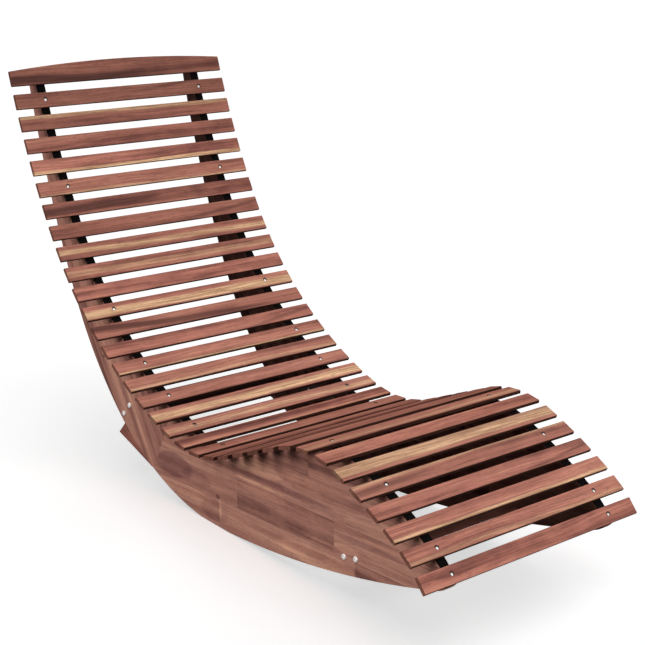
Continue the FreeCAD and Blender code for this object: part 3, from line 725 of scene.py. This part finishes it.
def makeScrewTree():
    tree, got, out = newGrower("woodScrews", [
        ("Head Width", "NodeSocketFloat"), ("Rim", "NodeSocketFloat"), ("Cone", "NodeSocketFloat"),
        ("Shank Width", "NodeSocketFloat"), ("Length", "NodeSocketFloat"), ("Facets", "NodeSocketInt"),
        ("Recess Length", "NodeSocketFloat"), ("Recess Width", "NodeSocketFloat"),
        ("Recess Depth", "NodeSocketFloat"), ("Seed", "NodeSocketInt"), ("Steel", "NodeSocketMaterial")])
    head = calc(tree, "MULTIPLY", got["Head Width"], 0.5)
    shank = calc(tree, "MULTIPLY", got["Shank Width"], 0.5)
    point = calc(tree, "MULTIPLY", shank, screwShape["tipShare"])
    bevel = calc(tree, "MULTIPLY", got["Rim"], screwShape["bevelShare"])
    tip = calc(tree, "MULTIPLY", got["Length"], -1.0)
    neck = calc(tree, "MULTIPLY", calc(tree, "ADD", got["Rim"], got["Cone"]), -1.0)
    # rings from the tip to the top of the head: height and radius of each
    heights = (tip, calc(tree, "ADD", tip, got["Shank Width"]), neck,
               calc(tree, "MULTIPLY", got["Rim"], -1.0), calc(tree, "MULTIPLY", bevel, -1.0), 0.0)
    radii = (point, shank, shank, head, head, calc(tree, "SUBTRACT", head, bevel))
    index = tree.nodes.new("GeometryNodeInputIndex").outputs[0]
    start = (0.0, 0.0, screwShape["startLength"])
    line = addNode(tree, "GeometryNodeCurvePrimitiveLine", {"End": start}).outputs[0]
    line = addNode(tree, "GeometryNodeResampleCurve", {"Curve": line, "Count": len(heights)}).outputs[0]
    place = joinXyz(tree, 0.0, 0.0, pickByIndex(tree, index, heights))
    line = addNode(tree, "GeometryNodeSetPosition", {"Geometry": line, "Position": place}).outputs[0]
    ring = addNode(tree, "GeometryNodeCurvePrimitiveCircle",
                   {"Resolution": got["Facets"], "Radius": 1.0}).outputs[0]
    turned = addNode(tree, "GeometryNodeCurveToMesh", {
        "Curve": line, "Profile Curve": ring, "Scale": pickByIndex(tree, index, radii), "Fill Caps": True})
    # the recess is two crossed blades, cut out of the head
    deep = calc(tree, "MULTIPLY", got["Recess Depth"], 2.0)
    wide, thin = got["Recess Length"], got["Recess Width"]
    first = addNode(tree, "GeometryNodeMeshCube", {"Size": joinXyz(tree, wide, thin, deep)}).outputs[0]
    second = addNode(tree, "GeometryNodeMeshCube", {"Size": joinXyz(tree, thin, wide, deep)}).outputs[0]
    cut = addNode(tree, "GeometryNodeMeshBoolean", {"Mesh 1": turned.outputs[0], "Mesh 2": first},
                  operation="DIFFERENCE", solver="EXACT")
    tree.links.new(second, cut.inputs["Mesh 2"])
    outward = addNode(tree, "GeometryNodeInputNamedAttribute", {"Name": "outward"},
                      data_type="FLOAT_VECTOR")
    aimed = addNode(tree, "FunctionNodeAlignRotationToVector", {"Vector": outward.outputs[0]}, axis="Z")
    spin = addNode(tree, "FunctionNodeRandomValue", {2: 0.0, 3: math.pi / 2, "Seed": got["Seed"]},
                   data_type="FLOAT")
    spun = addNode(tree, "FunctionNodeAxisAngleToRotation",
                   {"Axis": (0.0, 0.0, 1.0), "Angle": spin.outputs[1]})
    turn = addNode(tree, "FunctionNodeRotateRotation",
                   {"Rotation": aimed.outputs[0], "Rotate By": spun.outputs[0]}, rotation_space="LOCAL")
    driven = addNode(tree, "GeometryNodeInstanceOnPoints", {
        "Points": got["Geometry"], "Instance": cut.outputs[0], "Rotation": turn.outputs[0]})
    finishTree(tree, driven.outputs[0], got["Steel"], out)
    return tree


def loosePieces(obj):
    # the corners of each separate solid in a node, found by spreading the lowest number over its faces
    spots, number = np.unique(np.round(meshPoints(obj), 6), axis=0, return_inverse=True)
    number = number.ravel()
    faces = np.array([[number[corner] for corner in face.vertices] for face in obj.data.polygons])
    label = np.arange(len(spots))
    while True:
        lowest = np.repeat(label[faces].min(axis=1), faces.shape[1])
        spread = label.copy()
        np.minimum.at(spread, faces.ravel(), lowest)
        if (spread == label).all():
            return [spots[label == piece] for piece in np.unique(label)]
        label = spread


def screwPoints(name):
    # one point at the top of each head, with the way out of the wood
    tops, ways = [], []
    for solid in loosePieces(nodes[name]):
        centre = solid.mean(axis=0)
        tip = solid[np.argmax(np.linalg.norm(solid - centre, axis=1))]
        way = (centre - tip) / np.linalg.norm(centre - tip)
        tops.append(tip + way * ((solid - tip) @ way).max())
        ways.append(way)
    mesh = bpy.data.meshes.new(name + "Points")
    mesh.from_pydata([tuple(top) for top in tops], [], [])
    outward = mesh.attributes.new("outward", "FLOAT_VECTOR", "POINT")
    outward.data.foreach_set("vector", np.array(ways).ravel())
    return mesh


screwTree = makeScrewTree()
for name, pieceName in (("slat_screws", "slatScrewHeads"), ("stop_screws", "stopScrewHeads"),
                        ("plate_screws", "plateScrewHeads")):
    values = dict(screwSizes, Length=screwLengths[name], Steel=screwSteel)
    grow(pieceName, screwPoints(name), screwTree, values, name)


# webbing swept along the line on which the slats lie: heading in degrees, then runs as radius and
# turn in degrees, or a straight length; the line turns upwards where the turn is positive
strapSizes = {
    "Width": 0.0218, "Thickness": 0.0019, "Drop": 0.001, "Ribs": 9, "Rib Depth": 0.00022,
    "Profile Points": 56, "Step": 0.006}
strapLine = {
    "start": (-0.70637, 0.8650), "heading": -67.9, "length": 1.8316, "side": 0.222, "stepLength": 0.004,
    "runs": ((1.880, 10.9), (0.864, 40.7), (0.275, 41.2), (0.196, None), (0.224, -45.0),
             (1.070, -11.1), (0.239, -90.0))}


def strapPath(side):
    spots, along = [], 0.0
    x, z = strapLine["start"]
    heading = math.radians(strapLine["heading"])
    step = strapLine["stepLength"]
    for size, turn in strapLine["runs"]:
        run = size if turn is None else size * math.radians(abs(turn))
        run = min(run, strapLine["length"] - along)
        bend = 0.0 if turn is None else math.copysign(1.0 / size, turn)
        parts = max(1, math.ceil(run / step))
        for _ in range(parts):
            spots.append((x, side * strapLine["side"], z))
            middle = heading + bend * run / parts / 2
            x += math.cos(middle) * run / parts
            z += math.sin(middle) * run / parts
            heading += bend * run / parts
        along += run
        if along >= strapLine["length"]:
            break
    spots.append((x, side * strapLine["side"], z))
    mesh = bpy.data.meshes.new("strapPath")
    mesh.from_pydata(spots, [(order, order + 1) for order in range(len(spots) - 1)], [])
    return mesh


def makeStrapTree():
    tree, got, out = newGrower("wovenStrap", [
        ("Width", "NodeSocketFloat"), ("Thickness", "NodeSocketFloat"), ("Drop", "NodeSocketFloat"),
        ("Ribs", "NodeSocketInt"), ("Rib Depth", "NodeSocketFloat"), ("Profile Points", "NodeSocketInt"),
        ("Step", "NodeSocketFloat"), ("Cloth", "NodeSocketMaterial")])
    path = addNode(tree, "GeometryNodeMeshToCurve", {"Mesh": got["Geometry"]}).outputs[0]
    path = addNode(tree, "GeometryNodeResampleCurve", {"Curve": path, "Length": got["Step"]},
                   mode="LENGTH").outputs[0]
    path = addNode(tree, "GeometryNodeSetCurveNormal", {"Curve": path}, mode="Z_UP").outputs[0]
    band = addNode(tree, "GeometryNodeCurvePrimitiveQuadrilateral",
                   {"Width": got["Width"], "Height": got["Thickness"]}).outputs[0]
    band = addNode(tree, "GeometryNodeResampleCurve",
                   {"Curve": band, "Count": got["Profile Points"]}).outputs[0]
    place = tree.nodes.new("GeometryNodeInputPosition").outputs[0]
    spot = splitXyz(tree, place)
    # ribs along the strap: each face is pulled in between them
    turns = calc(tree, "MULTIPLY", calc(tree, "DIVIDE", spot[0], got["Width"]), got["Ribs"])
    wave = calc(tree, "COSINE", calc(tree, "MULTIPLY", turns, 2 * math.pi))
    inward = calc(tree, "MULTIPLY", calc(tree, "MULTIPLY_ADD", wave, 0.5, 0.5), got["Rib Depth"])
    inward = calc(tree, "MULTIPLY", inward, calc(tree, "SIGN", spot[1]))
    sunk = calc(tree, "SUBTRACT", got["Drop"], inward)
    pull = joinXyz(tree, 0.0, sunk, 0.0)
    band = addNode(tree, "GeometryNodeSetPosition", {"Geometry": band, "Offset": pull}).outputs[0]
    swept = addNode(tree, "GeometryNodeCurveToMesh", {
        "Curve": path, "Profile Curve": band, "Scale": 1.0, "Fill Caps": True}).outputs[0]
    finishTree(tree, swept, got["Cloth"], out)
    return tree


strapTree = makeStrapTree()
for side, sign in (("left", 1.0), ("right", -1.0)):
    values = dict(strapSizes, Cloth=webbing)
    grow("wovenStrap_" + side, strapPath(sign), strapTree, values, "strap_" + side)
print("stage 4: rails, stops, straps and fasteners finished")


# floor, world and lamps
studio = {
    "floorSize": 80.0, "floorColour": (0.18, 0.18, 0.18, 1.0), "floorSeen": 1.0, "floorGlow": 0.62,
    "floorRough": 0.9, "skyStrength": 0.06, "lampHeight": 4.0}
softboxes = {
    "overheadSoftbox": {"strength": 0.9, "angle": 60.0, "from": (0.30, 0.0, 1.0), "lights": "all"},
    "footSoftbox": {"strength": 1.5, "angle": 50.0, "from": (1.0, 0.10, 0.38), "lights": "chair"},
    "rearSoftbox": {"strength": 0.6, "angle": 60.0, "from": (-0.35, 0.80, 0.60), "lights": "all"},
    "frontSoftbox": {"strength": 2.6, "angle": 34.0, "from": (0.02, -0.85, 0.48), "lights": "near"}}


def makeFloor():
    bpy.ops.mesh.primitive_plane_add(size=studio["floorSize"])
    floor = bpy.context.object
    floor.name = "studioFloor"
    material, tree, shader = newMaterial("palePaper")
    seen = addNode(tree, "ShaderNodeLightPath").outputs["Is Camera Ray"]
    lit = (studio["floorSeen"], studio["floorSeen"], studio["floorSeen"], 1.0)
    tree.links.new(blendColour(tree, seen, studio["floorColour"], lit), shader["Base Color"])
    shader["Roughness"].default_value = studio["floorRough"]
    shader["Specular IOR Level"].default_value = 0.0
    shader["Emission Color"].default_value = (1.0, 1.0, 1.0, 1.0)
    tree.links.new(calc(tree, "MULTIPLY", seen, studio["floorGlow"]), shader["Emission Strength"])
    dress(floor, material)


def lightStudio():
    world = bpy.data.worlds.new("studioSky")
    world.use_nodes = True
    bpy.context.scene.world = world
    tree = world.node_tree
    path = addNode(tree, "ShaderNodeLightPath").outputs
    seen = calc(tree, "MAXIMUM", path["Is Camera Ray"], path["Is Transmission Ray"])
    seen = calc(tree, "MAXIMUM", seen, path["Is Glossy Ray"])
    sky = tree.nodes["Background"].inputs
    sky["Color"].default_value = (1.0, 1.0, 1.0, 1.0)
    strength = addNode(tree, "ShaderNodeMix", {0: seen, 2: studio["skyStrength"], 3: 1.0},
                       data_type="FLOAT")
    tree.links.new(strength.outputs[0], sky["Strength"])
    # the foot softbox is kept off the floor, and the front one off the far boards too
    lit = {"chair": bpy.data.collections.new("litChair"), "near": bpy.data.collections.new("litNear")}
    farBoards = (nodes["seat_board_left"], nodes["back_board_left"])
    for piece in list(nodes.values()) + madePieces:
        lit["chair"].objects.link(piece)
        if piece not in farBoards:
            lit["near"].objects.link(piece)
    for name, box in softboxes.items():
        bpy.ops.object.light_add(type="SUN", location=(0.0, 0.0, studio["lampHeight"]))
        lamp = bpy.context.object
        lamp.name = name
        lamp.data.energy = box["strength"]
        lamp.data.angle = math.radians(box["angle"])
        lamp.rotation_euler = (-Vector(box["from"])).to_track_quat("-Z", "Y").to_euler()
        if box["lights"] in lit:
            lamp.light_linking.receiver_collection = lit[box["lights"]]


cameraView = {
    "place": (2.45434, -2.08214, 1.44327), "turn": (72.2853, -2.4084, 49.4291), "lens": 85.615,
    "sensor": 36.0, "farthest": 100.0}


def placeCamera():
    camera = bpy.data.cameras.new("photoCamera")
    camera.lens = cameraView["lens"]
    camera.sensor_width = cameraView["sensor"]
    camera.clip_end = cameraView["farthest"]
    holder = bpy.data.objects.new("photoCamera", camera)
    holder.location = cameraView["place"]
    holder.rotation_euler = [math.radians(angle) for angle in cameraView["turn"]]
    bpy.context.scene.collection.objects.link(holder)
    bpy.context.scene.camera = holder


makeFloor()
lightStudio()
placeCamera()
bpy.context.scene.view_settings.view_transform = "Standard"
print("stage 5: studio set")
